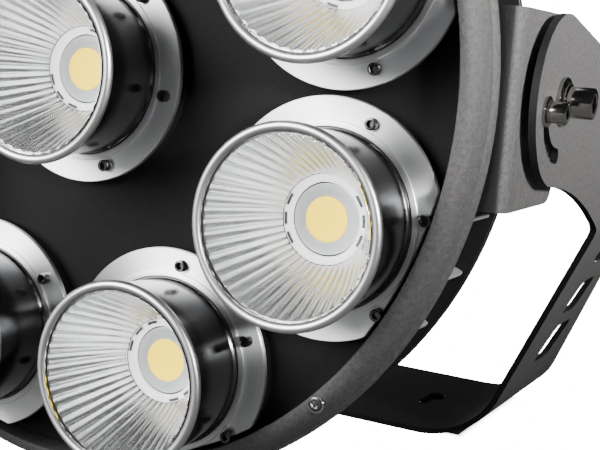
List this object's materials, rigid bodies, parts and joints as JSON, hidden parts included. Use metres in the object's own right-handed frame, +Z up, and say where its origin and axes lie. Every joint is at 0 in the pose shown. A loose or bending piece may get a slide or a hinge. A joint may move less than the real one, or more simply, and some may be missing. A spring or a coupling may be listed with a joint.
{
  "type": "stadium flood light",
  "caption": "Round stadium flood light: fluted reflector cups on a finned heat sink, in a ring, tilting in a bent sheet-metal yoke with arc slots.",
  "frame": {"origin": "centre of the underside of the yoke's base, the face that is bolted down", "axes": "+Z up from the mounting face; the lamp faces -Y; +X is along the tilt axis, to the right seen from in front"},
  "size_m": [0.679, 0.581, 0.614],
  "materials": {
    "powder_coat": "fine-textured grey powder coat, matt",
    "plate_black": "satin black",
    "cast_black": "matt black anodised",
    "flange_silver": "satin",
    "cup_metal": "dark polished, spun",
    "reflector_silver": "bright fluted metallised surface",
    "emitter": "yellow phosphor on white ceramic",
    "cover_glass": "clear, polished",
    "stainless": "bright stainless",
    "black_plastic": "matt black moulding"
  },
  "bodies": {
    "yoke": {"yoke": "powder_coat"},
    "head": {"front_ring": "powder_coat", "face_plate": "plate_black", "heat_sink": "cast_black", "driver_housing": "powder_coat", "driver_lid": "powder_coat", "cable_gland": "black_plastic", "ear_right": "powder_coat", "ear_left": "powder_coat", "pivot_bolt_right": "stainless", "pivot_bolt_left": "stainless", "lock_bolt_right": "stainless", "lock_bolt_left": "stainless", "pivot_spacer_right": "black_plastic", "pivot_spacer_left": "black_plastic", "flange_1": "flange_silver", "cup_1": "cup_metal", "reflector_1": "reflector_silver", "light_source_1": "emitter", "cover_glass_1": "cover_glass", "flange_2": "flange_silver", "cup_2": "cup_metal", "reflector_2": "reflector_silver", "light_source_2": "emitter", "cover_glass_2": "cover_glass", "flange_3": "flange_silver", "cup_3": "cup_metal", "reflector_3": "reflector_silver", "light_source_3": "emitter", "cover_glass_3": "cover_glass", "flange_4": "flange_silver", "cup_4": "cup_metal", "reflector_4": "reflector_silver", "light_source_4": "emitter", "cover_glass_4": "cover_glass", "flange_5": "flange_silver", "cup_5": "cup_metal", "reflector_5": "reflector_silver", "light_source_5": "emitter", "cover_glass_5": "cover_glass", "flange_6": "flange_silver", "cup_6": "cup_metal", "reflector_6": "reflector_silver", "light_source_6": "emitter", "cover_glass_6": "cover_glass", "flange_7": "flange_silver", "cup_7": "cup_metal", "reflector_7": "reflector_silver", "light_source_7": "emitter", "cover_glass_7": "cover_glass", "flange_8": "flange_silver", "cup_8": "cup_metal", "reflector_8": "reflector_silver", "light_source_8": "emitter", "cover_glass_8": "cover_glass", "flange_9": "flange_silver", "cup_9": "cup_metal", "reflector_9": "reflector_silver", "light_source_9": "emitter", "cover_glass_9": "cover_glass"}
  },
  "joints": [
    {"name": "head_tilt", "type": "hinge", "parent": "yoke", "child": "head", "pos_m": [0, -0.332, 0.319], "axis": [1, 0, 0], "range_deg": [0, 78]}
  ]
}
